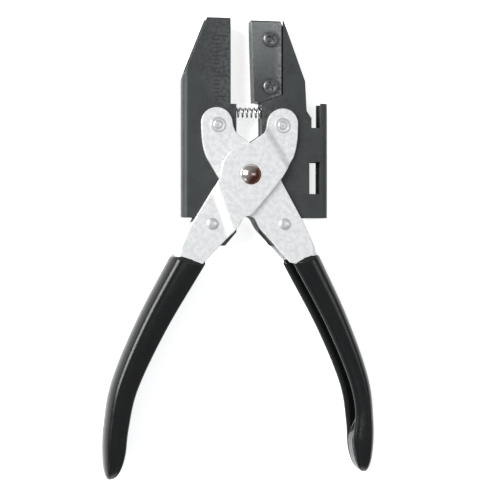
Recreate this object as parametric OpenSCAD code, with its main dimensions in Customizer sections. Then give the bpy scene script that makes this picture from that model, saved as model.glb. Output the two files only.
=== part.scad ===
// Parallel-action punch pliers, lying on their back: jaws towards +Y, front face up.
// The mechanism is drawn about the centre rivet, with Z = 0 in the middle of the tool,
// and is then placed so that the origin is the middle of the underside of its box.

/* [Mechanism] */
// Front jaw pivots, distance to each side of the centre line
pivot_x = 16.25; // [15:0.25:20]
// Jaw pivots and slide pins, distance above and below the centre rivet
pivot_y = 24.5; // [23:0.5:30]
// Rear slide pins, distance to each side before the arms are set over
slide_x = 18.2; // [17:0.1:22]
// Turn of each handle from open to closed, in degrees
close_angle = 11; // [6:0.5:11]
// Sideways set of the two arms towards -X, per millimetre of length
arm_set = 0.03; // [0:0.005:0.04]

/* [Jaws] */
// Height of the left jaw above the centre rivet
jaw_h = 77.5; // [70:0.5:100]
// Amount by which the right jaw stops short of the left one
right_drop = 0.6; // [0:0.1:3]
// Start of the open throat above the centre rivet
throat_y = 36; // [35.5:0.5:38]
// Inner edge of the covers below the throat, from the centre line
inner_x = 6.5; // [6:0.1:8]
// Face of the anvil strip, left of the centre line
anvil_x = 9.2; // [9:0.1:12]
// Cutting edge of the blade at the top, right of the centre line
blade_x = 1; // [1:0.1:3]
// Rake of the cutting edge, in degrees
blade_rake = 1.8; // [0:0.1:3]
// Thickness of the solid jaw bars
bar_t = 7.2; // [6.5:0.1:9]
// Outer face of the left cover, from the centre line
left_w = 33.5; // [32:0.5:40]
// Outer face of the right cover, from the centre line
right_w = 40.3; // [39.5:0.1:46]
// Lower edge of the covers below the centre rivet
cover_low = 21.3; // [20.5:0.1:22]
// Tail of the jaws below the centre rivet
tail_y = 35.2; // [35:0.1:45]

/* [Sheet and plate] */
// Thickness of the cover sheet
sheet_t = 1.5; // [1:0.1:1.8]
// Outer bend radius of the covers
cover_bend = 3; // [2:0.1:4]
// Thickness of the handle plate
plate_t = 2; // [1.5:0.1:2.5]
// Thickness of the blade plate
blade_t = 2; // [1.6:0.1:3]
// Thickness of the anvil strip
anvil_t = 3; // [2:0.5:4]

/* [Fits] */
// Clearance between sheets that slide on each other
slide_gap = 0.1; // [0.08:0.01:0.2]
// Radial clearance of pins that turn in the jaws
pin_gap = 0.05; // [0.03:0.01:0.1]
// Clearance between separate pieces that do not touch
free_gap = 0.2; // [0.1:0.05:0.5]

/* [Pins] */
// Diameter of the front jaw pivots
pivot_d = 6; // [5:0.5:6.5]
// Diameter of the riveted ends of the front and rear pins
tenon_d = 4; // [3:0.5:4.5]
// Outer diameter of the washers under the riveted ends
washer_d = 7.4; // [6.5:0.1:8.5]
// Outer diameter of the sleeves that run in the jaw slots
sleeve_d = 5.2; // [5:0.1:5.6]
// Diameter of the heads of the rear pins
slide_head_d = 6; // [5.5:0.5:8]
// Diameter of the centre rivet
rivet_d = 6; // [5:0.5:7]
// Diameter of the domed head of the centre rivet
rivet_head_d = 10.2; // [9:0.1:13]
// Outer diameter of the centre spacer
spacer_d = 9; // [8:0.5:9]

/* [Spring] */
// Outer diameter of the return spring
spring_d = 5.6; // [5:0.1:6]
// Wire diameter of the return spring
spring_wire = 1; // [0.8:0.1:1.1]
// Depth of the spring pockets
pocket_depth = 5; // [4:0.5:6]
// Height of the spring above the centre rivet
spring_y = 31.2; // [30.5:0.1:32]

/* [Screws] */
// Head diameter of the blade screws
screw_head_d = 8; // [7:0.5:8.5]
// Thread diameter of the blade screws
screw_d = 4; // [3:0.5:4.5]
// Spacing of the blade screws
screw_pitch = 23.5; // [20:0.5:25]
// Diameter of the fence holes in the right cover
fence_hole_d = 2.4; // [2:0.1:3.5]
// Spacing of the fence holes
fence_pitch = 32; // [30:1:34]

/* [Handles] */
// Radius of the round boss at the centre rivet
boss_r = 15; // [14.5:0.5:16]
// Radius of the round lobe at each front pivot
lobe_r = 7.9; // [7:0.1:9]
// Half width of the grip at its top
grip_top_w = 8.4; // [7.5:0.1:9]
// Half width of the grip near its tip
grip_tip_w = 5.6; // [4.5:0.1:6]
// Length of the tapered tip of each grip
grip_tip_len = 11; // [6:0.5:14]
// Amount by which each grip's second flange is narrower than its first
flange_step = 2.5; // [0:0.1:3]
// Length of the grips beyond the bare steel
grip_len = 110; // [95:1:130]
// Plastic over the faces of the arms
coat_face = 2.1; // [1.5:0.1:3]
// Plastic over the edges of the arms
coat_edge = 1.2; // [0.8:0.1:2]

/* [Hidden] */
$fn = 48;
over = 1;

// Heights of the layers, from the middle of the tool
bar_gap = 0.05;
cover_in = bar_t / 2 + bar_gap;
cover_out = cover_in + sheet_t;
low_in = cover_out + slide_gap;
low_out = low_in + plate_t;
lift = plate_t + slide_gap;
high_out = low_out + lift;
grip_out = low_out + coat_face;
rivet_back = 0.15;

// Travel of each jaw from open to closed
travel_x = pivot_y * sin(close_angle) + pivot_x * (1 - cos(close_angle));
travel_y = pivot_x * sin(close_angle) - pivot_y * (1 - cos(close_angle));
slot_run = (pivot_x + slide_x + arm_set * pivot_y) * sin(close_angle)
    - 2 * pivot_y * (1 - cos(close_angle));

// Shape of the arms, in the left-hand handle's own place
arm_top_x = 28;
arm_top_y = -40;
joggle_run = 3;
low_ridge = [-14.1, -17.3];
low_ridge_turn = 19.7;
high_ridge = [14.6, 11.8];
high_ridge_turn = 31.7;
web_top = -23.6;
lobe_shift = [0.3, 0.7];
far = 300;

function set_over(p, k) = [p.x + k * min(p.y, 0), p.y];
function lerp(a, b, t) = a + (b - a) * t;

// Catmull-Rom curve through four points
function curve(a, b, c, d, t) =
    0.5 * (2 * b + (c - a) * t + (2 * a - 5 * b + 4 * c - d) * t * t
    + (3 * b - a - 3 * c + d) * t * t * t);

// Middle line of the grip, from the top down, for the left-hand handle
path_steps = 6;
path = [
    [-arm_top_x, arm_top_y],
    [-arm_top_x - 0.161 * grip_len, arm_top_y - 0.3 * grip_len],
    [-arm_top_x - 0.276 * grip_len, arm_top_y - 0.573 * grip_len],
    [-arm_top_x - 0.31 * grip_len, arm_top_y - 0.76 * grip_len],
    [-arm_top_x - 0.317 * grip_len, arm_top_y - grip_len + grip_tip_len]
];
path_ends = concat([2 * path[0] - path[1]], path, [2 * path[4] - path[3]]);
middle = concat(
    [for (i = [0:3]) for (k = [0:path_steps - 1])
        curve(path_ends[i], path_ends[i + 1], path_ends[i + 2], path_ends[i + 3], k / path_steps)],
    [path[4]]
);
last = len(middle) - 1;
function along(i) = middle[min(i + 1, last)] - middle[max(i - 1, 0)];
function side(i) = [along(i).y, -along(i).x] / norm(along(i));
function half_w(i) = lerp(grip_top_w, grip_tip_w, i / last);

// Outline of the grip: outer side down, tapered tip, inner side up
tip_steps = 9;
function tip_point(r, q) = middle[last] + r * cos(q) * side(last)
    + r * sin(q) * grip_tip_len / grip_tip_w * along(last) / norm(along(last));
function strip_points(outer, inner, first, k) = concat(
    [for (i = [first:last]) set_over(middle[i] + (half_w(i) - outer) * side(i), k)],
    [for (j = [1:tip_steps - 1])
        set_over(tip_point(grip_tip_w - outer, 180 * j / tip_steps), k)],
    [for (i = [last:-1:first]) set_over(middle[i] - (half_w(i) - inner) * side(i), k)]
);

// Box of the whole object, for its place
grip_b_points = strip_points(0, 0, 1, arm_set);
grip_a_points = strip_points(0, 0, 1, -arm_set);
x_low = min([for (p = grip_b_points) p.x]);
x_high = -min([for (p = grip_a_points) p.x]);
y_low = min([for (p = concat(grip_a_points, grip_b_points)) p.y]);

module placed() {
    translate([-(x_low + x_high) / 2, -(jaw_h + y_low) / 2, high_out + rivet_back]) children();
}

// Slab between two heights
module slab(low, high) {
    translate([0, 0, low]) linear_extrude(high - low) children();
}

module slab_both(low, high) {
    slab(low, high) children();
    slab(-high, -low) children();
}

module post(x, y, d, low, high) {
    translate([x, y, low]) cylinder(d = d, h = high - low);
}

// ---- Jaws ----

// Slot for the rear slide, along the jaw
module slide_slot(x) {
    width = sleeve_d + 2 * pin_gap;
    translate([x - width / 2, -pivot_y - slot_run]) square([width, slot_run]);
    translate([x, -pivot_y]) circle(d = width);
    translate([x, -pivot_y - slot_run]) circle(d = width);
}

// Room that the centre spacer needs as the jaw closes, for the left jaw
module spacer_room() {
    r = spacer_d / 2 + side_room;
    translate([-travel_x, -travel_y]) circle(r);
    translate([-travel_x, -travel_y - r]) square([inner_x + over, 2 * r]);
}

left_slide_x = -slide_x - arm_set * pivot_y;
right_slide_x = slide_x - arm_set * pivot_y;
tail_cut = 6.7;
side_room = 0.5;
tail_w = 23;

// Folded sheet, open towards the centre line, with its web at x = 0
module folded_channel(width, low, high) {
    translate([0, high, 0]) rotate([90, 0, 0]) linear_extrude(high - low) difference() {
        channel_section(width, cover_out, cover_bend);
        translate([sheet_t, 0]) channel_section(width, cover_in, cover_bend - sheet_t);
    }
}

module channel_section(width, half, r) {
    translate([r, -half]) square([width - r, 2 * half]);
    translate([0, r - half]) square([width, 2 * (half - r)]);
    for (s = [-1, 1]) translate([r, s * (half - r)]) circle(r);
}

left_top_in = 9.4;
left_top_out = 21.2;
left_shoulder = 46.9;
left_throat = throat_y - 1;

module left_cover_outline() {
    polygon([
        [-left_top_in, jaw_h], [-left_top_out, jaw_h], [-left_w, left_shoulder],
        [-left_w, -cover_low], [-tail_w, -cover_low], [-tail_w, -tail_y],
        [-inner_x - tail_cut + over, -tail_y], [-inner_x, tail_cut - tail_y],
        [-inner_x, left_throat], [-left_top_in, left_throat]
    ]);
}

module left_cover() {
    color([0.30, 0.32, 0.32]) placed() intersection() {
        translate([-left_w, 0, 0]) folded_channel(left_w, -tail_y, jaw_h);
        slab(-cover_out, cover_out) difference() {
            left_cover_outline();
            translate([-pivot_x, pivot_y]) circle(d = pivot_d + 2 * pin_gap);
            slide_slot(left_slide_x);
            spacer_room();
        }
    }
}

bar_inset = 1.2;

module left_bar() {
    color([0.42, 0.43, 0.44]) placed() difference() {
        slab(-bar_t / 2, bar_t / 2) difference() {
            polygon([
                [-anvil_x - anvil_t, jaw_h - free_gap], [-left_top_out + bar_inset, jaw_h - free_gap],
                [-left_w + 3 * bar_inset, left_shoulder], [-tail_w, throat_y - bar_inset],
                [-tail_w, bar_inset - tail_y], [-inner_x - tail_cut, bar_inset - tail_y],
                [-inner_x - free_gap, tail_cut + bar_inset - tail_y],
                [-inner_x - free_gap, left_throat - free_gap],
                [-anvil_x - anvil_t, left_throat - free_gap]
            ]);
            translate([-pivot_x, pivot_y]) circle(d = pivot_d + 2 * pin_gap);
            slide_slot(left_slide_x);
            spacer_room();
        }
        spring_pocket(-1);
        for (y = anvil_screw_ys)
            translate([-anvil_x - anvil_t + over, y, 0]) rotate([0, -90, 0])
                cylinder(d = anvil_screw_d, h = anvil_screw_len + over);
    }
}

module spring_pocket(s) {
    translate([s * (inner_x - over), spring_y, 0]) rotate([0, 90 * s, 0])
        cylinder(d = spring_d + side_room, h = pocket_depth + over);
}

anvil_screw_d = 2.5;
anvil_screw_head_d = 4.6;
anvil_screw_len = 6;
anvil_screw_ys = [throat_y + 8, jaw_h - 8];

module anvil_strip() {
    color([0.72, 0.58, 0.30]) placed() difference() {
        translate([-anvil_x - anvil_t, left_throat, -bar_t / 2])
            cube([anvil_t, jaw_h - free_gap - left_throat, bar_t]);
        anvil_screw_shape(free_gap);
    }
}

// Countersunk screws, flush with the anvil face
module anvil_screw_shape(proud) {
    head_h = (anvil_screw_head_d - anvil_screw_d) / 2;
    for (y = anvil_screw_ys) translate([-anvil_x - free_gap, y, 0]) rotate([0, -90, 0]) {
        cylinder(d1 = anvil_screw_head_d, d2 = anvil_screw_d, h = head_h);
        cylinder(d = anvil_screw_d, h = anvil_t + anvil_screw_len - free_gap);
        translate([0, 0, -proud]) cylinder(d = anvil_screw_head_d, h = proud);
    }
}

module anvil_screws() {
    slot = 0.6;
    color([0.75, 0.76, 0.78]) placed() difference() {
        anvil_screw_shape(0);
        for (y = anvil_screw_ys)
            translate([-anvil_x - free_gap - slot, y - slot / 2, -anvil_screw_head_d])
                cube([over, slot, 2 * anvil_screw_head_d]);
    }
}

spring_len = 2 * (inner_x + pocket_depth);

// The spring's envelope, a tube of its outer and inner diameters
module return_spring() {
    color([0.80, 0.81, 0.82]) placed()
        translate([-spring_len / 2, spring_y, 0]) rotate([0, 90, 0]) difference() {
            cylinder(d = spring_d, h = spring_len);
            translate([0, 0, -over])
                cylinder(d = spring_d - 2 * spring_wire, h = spring_len + 2 * over);
        }
}

right_top = jaw_h - right_drop;
seat_x = 17.1;
seat_low = 40.2;
right_shoulder = 47;
notch_low = 23.8;
notch_in = 31.7;
notch_out = 36.4;
window_in = 30.6;
window_out = 36.2;
window_low = -9.3;
window_high = 6.8;
fence_y = -0.8;
back_inset = [0.7, 2.2];

module right_cover_outline(front) {
    polygon(concat(
        [[inner_x, throat_y], [inner_x, tail_cut - tail_y], [inner_x + tail_cut - over, -tail_y],
        [tail_w, -tail_y], [tail_w, -cover_low], [right_w, -cover_low],
        [right_w, throat_y], [notch_out, throat_y], [notch_out, notch_low],
        [notch_in, notch_low], [notch_in, 28.6], [29.2, 32.2], [28.4, right_shoulder],
        [17.4, right_top]],
        front ? [[seat_x, right_top], [seat_x, seat_low]]
            : [
                [edge_x(right_top) + back_inset[0], right_top],
                [edge_x(throat_y) + back_inset[1], throat_y + free_gap]
            ]
    ));
}

module right_cover_holes() {
    translate([pivot_x, pivot_y]) circle(d = pivot_d + 2 * pin_gap);
    slide_slot(right_slide_x);
    mirror([1, 0]) spacer_room();
    translate([window_in, window_low]) square([window_out - window_in, window_high - window_low]);
}

module right_cover() {
    color([0.30, 0.32, 0.32]) placed() difference() {
        intersection() {
            translate([right_w, 0, 0]) mirror([1, 0, 0]) folded_channel(right_w, -tail_y, jaw_h);
            union() {
                slab(0, cover_out) difference() {
                    right_cover_outline(true);
                    right_cover_holes();
                }
                slab(-cover_out, 0) difference() {
                    right_cover_outline(false);
                    right_cover_holes();
                }
            }
        }
        for (k = [0, 1])
            translate([right_w - 2 * sheet_t, fence_y + k * fence_pitch, 0]) rotate([0, 90, 0])
                cylinder(d = fence_hole_d, h = 3 * sheet_t);
    }
}

// Line of the cutting edge at a height above the centre rivet
function edge_x(y) = blade_x + (right_top - y) * tan(blade_rake);
screw_x = 10.5;
screw_ys = [right_top - 9.5, right_top - 9.5 - screw_pitch];
screw_len = 7;

module right_bar() {
    set_back = 0.1;
    color([0.42, 0.43, 0.44]) placed() difference() {
        slab(-bar_t / 2, bar_t / 2) difference() {
            polygon([
                [edge_x(right_top) + set_back, right_top], [17.4 - bar_inset, right_top],
                [28.4 - bar_inset, right_shoulder], [28.4 - bar_inset, 0],
                [tail_w, -cover_low], [tail_w, bar_inset - tail_y],
                [inner_x + tail_cut, bar_inset - tail_y],
                [inner_x + free_gap, tail_cut + bar_inset - tail_y],
                [inner_x + free_gap, throat_y + free_gap],
                [edge_x(throat_y) + set_back, throat_y + free_gap]
            ]);
            translate([pivot_x, pivot_y]) circle(d = pivot_d + 2 * pin_gap);
            slide_slot(right_slide_x);
            mirror([1, 0]) spacer_room();
        }
        spring_pocket(1);
        for (y = screw_ys) post(screw_x, y, screw_d, bar_t / 2 - screw_len, bar_t);
    }
}

module blade_plate() {
    bottom = throat_y + free_gap;
    right = seat_x - 1;
    slope = (seat_low - throat_y) / (seat_x - inner_x);
    color([0.50, 0.51, 0.51]) placed() slab(bar_t / 2, bar_t / 2 + blade_t) difference() {
        polygon([
            [edge_x(right_top - 1), right_top - 1], [edge_x(bottom), bottom],
            [inner_x, bottom], [right, bottom + slope * (right - inner_x)],
            [right, right_top - 1]
        ]);
        for (y = screw_ys) translate([screw_x, y]) circle(d = screw_d + free_gap);
    }
}

module blade_screws() {
    top = bar_t / 2 + blade_t;
    head_h = 2.2;
    cone_h = 0.8;
    recess = [4.6, 1];
    color([0.70, 0.71, 0.72]) placed() for (y = screw_ys) difference() {
        union() {
            post(screw_x, y, screw_d, bar_t / 2 - screw_len, top);
            translate([screw_x, y, top]) {
                cylinder(d = screw_head_d, h = head_h - cone_h);
                translate([0, 0, head_h - cone_h])
                    cylinder(d1 = screw_head_d, d2 = screw_head_d - 2.2, h = cone_h);
            }
        }
        for (turn = [45, 135]) translate([screw_x, y, top + cone_h]) rotate([0, 0, turn])
            translate([-recess.x / 2, -recess.y / 2, 0]) cube([recess.x, recess.y, head_h]);
    }
}

// ---- Handles ----

// Plate outline of the handle whose grip is on the left, down to the grip's top
module plate_outline(k) {
    circle(boss_r);
    translate([pivot_x + lobe_shift.x, pivot_y + lobe_shift.y]) circle(lobe_r);
    polygon([
        [-0.5, boss_r - 0.1], [pivot_x - 8.6, pivot_y - 3.5],
        [pivot_x + lobe_shift.x - lobe_r, pivot_y + 0.5],
        [pivot_x + lobe_shift.x + lobe_r, pivot_y + 0.5], [pivot_x + lobe_r, pivot_y - 6],
        [pivot_x + 5.8, 8.2], [boss_r + 0.8, -1.8], [0.9, -20.3], [-2.9, -21],
        set_over([-5.7, -26.4], k), set_over([-13.8, -35.1], k),
        set_over(middle[1] - (half_w(1) - coat_edge) * side(1), k),
        set_over(middle[1] + (half_w(1) - coat_edge) * side(1), k),
        set_over(middle[0] + (half_w(0) - coat_edge / 2) * side(0), k),
        [-boss_r - 0.6, -1.8], [0, 0]
    ]);
}

module arm_outline(k) {
    polygon(strip_points(coat_edge, coat_edge, 0, k));
}

// Area outside the narrower flange, from just above the grip to its tip
trim_lead = 0.3;
trim_fade = 6;
trim_over = 3;
function flange_cut(i) = flange_step * min(1, (last - i) / trim_fade);
function trim_top(out) = middle[1] - trim_lead * along(1) / norm(along(1)) - out * side(1);
module flange_trim(inset, k) {
    polygon(concat(
        [set_over(trim_top(half_w(1) - inset - flange_step), k)],
        [for (i = [2:last - 1])
            set_over(middle[i] - (half_w(i) - inset - flange_cut(i)) * side(i), k)],
        [for (i = [last - 1:-1:2]) set_over(middle[i] - (half_w(i) + trim_over) * side(i), k)],
        [set_over(trim_top(half_w(1) + trim_over), k)]
    ));
}

// Body below a surface that is raised between the two joggles
module below(height) {
    intersection() {
        translate(low_ridge) rotate([0, 0, low_ridge_turn]) ramp(height);
        translate(high_ridge) rotate([0, 0, high_ridge_turn + 180]) ramp(height);
    }
}

// Ramp that rises in +X from one level to the next
module ramp(height) {
    translate([0, far, 0]) rotate([90, 0, 0]) linear_extrude(2 * far) polygon([
        [-far, 0], [far, 0], [far, height + lift], [joggle_run / 2, height + lift],
        [-joggle_run / 2, height], [-far, height]
    ]);
}

// Pressing with its grip on the left: raised cheek in front, flat cheek behind, web outside
module pressing(k) {
    difference() {
        union() {
            slab(-low_out, -low_in) pressing_outline(k);
            intersection() {
                slab(low_in, high_out) pressing_outline(k);
                difference() {
                    below(low_out);
                    below(low_in);
                }
            }
            web(k);
        }
        slab(-low_out - over, 0) flange_trim(coat_edge, k);
        post(pivot_x, pivot_y, tenon_d, -high_out - over, high_out + over);
        post(-slide_x - k * pivot_y, -pivot_y, tenon_d, -high_out - over, high_out + over);
        post(0, 0, rivet_d + 2 * pin_gap, -high_out - over, high_out + over);
    }
}

module pressing_outline(k) {
    plate_outline(k);
    arm_outline(k);
}

// Web along the outer side and round the tip of the arm
module web(k) {
    inset = coat_edge + plate_t;
    slab(-low_in, low_in) difference() {
        intersection() {
            pressing_outline(k);
            translate([-far / 2, web_top - far]) square([far, far]);
        }
        polygon(concat(
            [set_over([-boss_r + 2, web_top + over + 20], k)],
            [set_over(middle[0] + (half_w(0) - inset) * side(0), k)],
            [for (i = [1:last - 1]) set_over(middle[i] + (half_w(i) - inset) * side(i), k)],
            [for (i = [last - 1:-1:0]) set_over(middle[i] - (half_w(i) + trim_over) * side(i), k)],
            [[30, -40], [30, 20]]
        ));
    }
}

// Grip with its channel open inwards, for the handle whose grip is on the left
module grip(k) {
    inset = coat_edge + plate_t + coat_edge;
    difference() {
        slab(-grip_out, grip_out) polygon(strip_points(0, 0, 1, k));
        slab(coat_edge - low_in, low_in - coat_edge) polygon(concat(
            [for (i = [1:last - 2]) set_over(middle[i] + (half_w(i) - inset) * side(i), k)],
            [for (i = [last - 2:-1:1]) set_over(middle[i] - (half_w(i) + trim_over) * side(i), k)]
        ));
        slab(-grip_out - over, 0) flange_trim(0, k);
        pressing(k);
    }
}

module handle_b() {
    color([0.82, 0.83, 0.84]) placed() pressing(arm_set);
}

module handle_a() {
    color([0.82, 0.83, 0.84]) placed() rotate([0, 180, 0]) pressing(-arm_set);
}

module grip_b() {
    color([0.08, 0.08, 0.09]) placed() grip(arm_set);
}

module grip_a() {
    color([0.08, 0.08, 0.09]) placed() rotate([0, 180, 0]) grip(-arm_set);
}

// ---- Pins ----

// Shouldered pivot with both ends riveted over washers
washer_t = 0.7;
rivet_end_h = 0.7;

module front_pin(x) {
    post(x, pivot_y, pivot_d, -low_in, low_in);
    post(x, pivot_y, tenon_d, -low_out - washer_t, low_out + washer_t);
    for (s = [-1, 1]) translate([x, pivot_y, s * (low_out + washer_t)]) mirror([0, 0, s < 0 ? 1 : 0])
        cylinder(d1 = tenon_d + 0.6, d2 = tenon_d - 1, h = rivet_end_h);
}

module front_washers(x) {
    slab_both(low_out, low_out + washer_t) translate([x, pivot_y]) difference() {
        circle(d = washer_d);
        circle(d = tenon_d);
    }
}

module rear_pin(x) {
    head_h = 1.1;
    post(x, -pivot_y, tenon_d, -low_out, low_out);
    for (s = [-1, 1]) translate([x, -pivot_y, s * low_out]) mirror([0, 0, s < 0 ? 1 : 0])
        cylinder(d1 = slide_head_d, d2 = slide_head_d - 2.4, h = head_h);
}

module slide_sleeve(x) {
    slab(-low_in, low_in) translate([x, -pivot_y]) difference() {
        circle(d = sleeve_d);
        circle(d = tenon_d);
    }
}

module front_pin_a() {
    color([0.86, 0.87, 0.88]) placed() front_pin(-pivot_x);
}

module front_pin_b() {
    color([0.86, 0.87, 0.88]) placed() front_pin(pivot_x);
}

module front_washers_a() {
    color([0.90, 0.90, 0.91]) placed() front_washers(-pivot_x);
}

module front_washers_b() {
    color([0.90, 0.90, 0.91]) placed() front_washers(pivot_x);
}

module rear_pin_a() {
    color([0.86, 0.87, 0.88]) placed() rear_pin(right_slide_x);
}

module rear_pin_b() {
    color([0.86, 0.87, 0.88]) placed() rear_pin(left_slide_x);
}

module slide_sleeve_a() {
    color([0.60, 0.61, 0.62]) placed() slide_sleeve(right_slide_x);
}

module slide_sleeve_b() {
    color([0.60, 0.61, 0.62]) placed() slide_sleeve(left_slide_x);
}

// Domed head in front, flat riveted end behind
module centre_rivet() {
    head_h = 2.4;
    head_r = rivet_head_d / 2;
    ball = (head_r * head_r + head_h * head_h) / (2 * head_h);
    color([0.90, 0.88, 0.86]) placed() {
        post(0, 0, rivet_d, -high_out, high_out);
        post(0, 0, rivet_d + 2, -high_out - rivet_back, -high_out);
        intersection() {
            translate([0, 0, high_out + head_h - ball]) sphere(r = ball, $fn = 64);
            post(0, 0, rivet_head_d + over, high_out, high_out + head_h);
        }
    }
}

module centre_spacer() {
    color([0.60, 0.61, 0.62]) placed() slab(-low_in + slide_gap / 2, low_in - slide_gap / 2) difference() {
        circle(d = spacer_d);
        circle(d = rivet_d + 2 * pin_gap);
    }
}

left_cover();
left_bar();
anvil_strip();
anvil_screws();
return_spring();
right_cover();
right_bar();
blade_plate();
blade_screws();
handle_a();
grip_a();
front_pin_a();
front_washers_a();
rear_pin_a();
slide_sleeve_a();
handle_b();
grip_b();
front_pin_b();
front_washers_b();
rear_pin_b();
slide_sleeve_b();
centre_rivet();
centre_spacer();
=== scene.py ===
"""Looks of the parallel-action punch pliers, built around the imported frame.

Every length is in metres and every piece is in the frame's own place: the pliers lie on
their back, jaws towards +Y, front face up. The tool's own axes, used by the mesh formulas,
start at the centre rivet, with z = 0 in the middle of the tool's thickness.
"""

import logging
import math
from dataclasses import dataclass, field
from enum import Enum

import bmesh
import bpy
import numpy as np
from mathutils import Matrix, Vector

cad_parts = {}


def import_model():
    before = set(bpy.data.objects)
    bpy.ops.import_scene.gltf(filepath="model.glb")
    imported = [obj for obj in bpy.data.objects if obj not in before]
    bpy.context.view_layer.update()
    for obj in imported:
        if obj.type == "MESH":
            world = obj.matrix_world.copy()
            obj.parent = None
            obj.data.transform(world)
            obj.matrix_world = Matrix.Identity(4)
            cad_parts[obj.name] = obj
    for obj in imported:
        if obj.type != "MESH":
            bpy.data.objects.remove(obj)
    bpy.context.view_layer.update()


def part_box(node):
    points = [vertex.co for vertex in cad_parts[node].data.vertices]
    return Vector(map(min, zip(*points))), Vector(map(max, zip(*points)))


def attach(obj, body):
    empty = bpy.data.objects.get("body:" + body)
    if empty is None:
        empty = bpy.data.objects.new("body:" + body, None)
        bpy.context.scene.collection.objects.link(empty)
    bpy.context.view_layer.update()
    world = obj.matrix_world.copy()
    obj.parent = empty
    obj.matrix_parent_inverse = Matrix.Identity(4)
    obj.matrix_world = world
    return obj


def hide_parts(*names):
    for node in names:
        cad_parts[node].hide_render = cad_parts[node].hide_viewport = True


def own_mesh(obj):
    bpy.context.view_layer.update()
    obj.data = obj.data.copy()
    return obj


LOG = logging.getLogger("punch_pliers")
MM = 0.001
ARM_SET = 0.03

Colour = tuple[float, float, float]
Skin = tuple[np.ndarray, list[np.ndarray]]


class Body(Enum):
    """The four rigid bodies of the linkage."""

    LEFT_JAW = "left_jaw"
    RIGHT_JAW = "right_jaw"
    BACK_HANDLE = "back_handle"
    FRONT_HANDLE = "front_handle"


class Slot(Enum):
    """The record's material slots."""

    PHOSPHATE = "phosphate"
    TOOL_STEEL = "tool_steel"
    ANVIL_BRASS = "anvil_brass"
    BLADE_STEEL = "blade_steel"
    DARK_SCREW = "dark_screw"
    SPRING_STEEL = "spring_steel"
    PLATED_STEEL = "plated_steel"
    ZINC_FASTENER = "zinc_fastener"
    POLISHED_RIVET = "polished_rivet"
    GRIP_VINYL = "grip_vinyl"


# ---------------------------------------------------------------------------
# Numbers shared by the formulas
# ---------------------------------------------------------------------------


def smooth_step(x: np.ndarray, low: float, high: float) -> np.ndarray:
    """Cubic step from 0 at low to 1 at high: t * t * (3 - 2 t)."""
    t = np.clip((x - low) / (high - low), 0.0, 1.0)
    return t * t * (3.0 - 2.0 * t)


def spline(points: np.ndarray, count: int) -> np.ndarray:
    """Evenly spaced points on a Catmull-Rom curve.

    Each stretch between two points is the cubic through them whose end slopes are half
    the step between their neighbours; the result is then resampled by arc length.

    Args:
        points: (n, d) control points, all of which the curve passes through.
        count: number of points wanted.

    Returns:
        (count, d) points.
    """
    ends = np.vstack([2 * points[0] - points[1], points, 2 * points[-1] - points[-2]])
    u = np.linspace(0, len(points) - 1, 24 * len(points), endpoint=True)
    i = np.minimum(u.astype(int), len(points) - 2)
    t = (u - i)[:, None]
    a, b, c, d = ends[i], ends[i + 1], ends[i + 2], ends[i + 3]
    curve = 0.5 * (
        2 * b + (c - a) * t + (2 * a - 5 * b + 4 * c - d) * t**2
        + (3 * b - a - 3 * c + d) * t**3
    )
    return resample(curve, count)


def resample(points: np.ndarray, count: int) -> np.ndarray:
    """The same polyline with count points at equal steps of arc length."""
    reach = np.concatenate([[0], np.cumsum(np.linalg.norm(np.diff(points, axis=0), axis=1))])
    at = np.linspace(0, reach[-1], count)
    return np.stack([np.interp(at, reach, points[:, k]) for k in range(points.shape[1])], 1)


def quads(rows: int, cols: int, close_cols: bool) -> np.ndarray:
    """Faces of a grid of points stored row by row.

    Args:
        rows: number of rows.
        cols: points in a row.
        close_cols: True if the last column joins the first.

    Returns:
        (n, 4) point indices.
    """
    r = np.arange(rows - 1)[:, None]
    c = np.arange(cols if close_cols else cols - 1)[None, :]
    n = (c + 1) % cols
    return np.stack(
        [r * cols + c, r * cols + n, (r + 1) * cols + n, (r + 1) * cols + c], -1
    ).reshape(-1, 4)


def capped_tube(rows: int, cols: int) -> list[np.ndarray]:
    """Faces of a tube of rings stored row by row, with both of its ends closed."""
    ring = np.arange(cols)
    return list(quads(rows, cols, True)) + [ring, (rows - 1) * cols + ring]


def mm(*pairs: tuple[float, float]) -> np.ndarray:
    """Flat points given in millimetres, as an array in metres."""
    return np.array(pairs) * MM


# ---------------------------------------------------------------------------
# Meshes
# ---------------------------------------------------------------------------


def make_object(name: str, points: np.ndarray, faces: list) -> bpy.types.Object:
    """A mesh object at the origin, with doubles merged and normals pointing out.

    Args:
        name: the piece's name.
        points: (n, 3) points in the frame, in metres.
        faces: lists or arrays of point indices.

    Returns:
        The new object, linked to the scene.
    """
    mesh = bpy.data.meshes.new(name)
    mesh.from_pydata(np.asarray(points, float).tolist(), [], [list(map(int, f)) for f in faces])
    obj = bpy.data.objects.new(name, mesh)
    bpy.context.scene.collection.objects.link(obj)
    tidy_mesh(mesh)
    return obj


def tidy_mesh(mesh: bpy.types.Mesh, gap: float = 1e-6) -> None:
    """Merges doubles, drops faces with no area and turns every face outwards."""
    work = bmesh.new()
    work.from_mesh(mesh)
    bmesh.ops.remove_doubles(work, verts=work.verts, dist=gap)
    bmesh.ops.dissolve_degenerate(work, edges=work.edges, dist=gap)
    bmesh.ops.recalc_face_normals(work, faces=work.faces)
    work.to_mesh(mesh)
    work.free()
    mesh.update()


def shade(obj: bpy.types.Object, angle: float = 35.0) -> None:
    """Smooth shading with creases sharper than an angle in degrees kept sharp."""
    obj.data.shade_smooth()
    obj.data.set_sharp_from_angle(angle=math.radians(angle))


def apply_modifiers(obj: bpy.types.Object) -> None:
    """Puts the result of the object's modifiers into its mesh."""
    graph = bpy.context.evaluated_depsgraph_get()
    shaped = bpy.data.meshes.new_from_object(obj.evaluated_get(graph), depsgraph=graph)
    obj.modifiers.clear()
    old = obj.data
    obj.data = shaped
    bpy.data.meshes.remove(old)
    obj.data.name = obj.name


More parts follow.
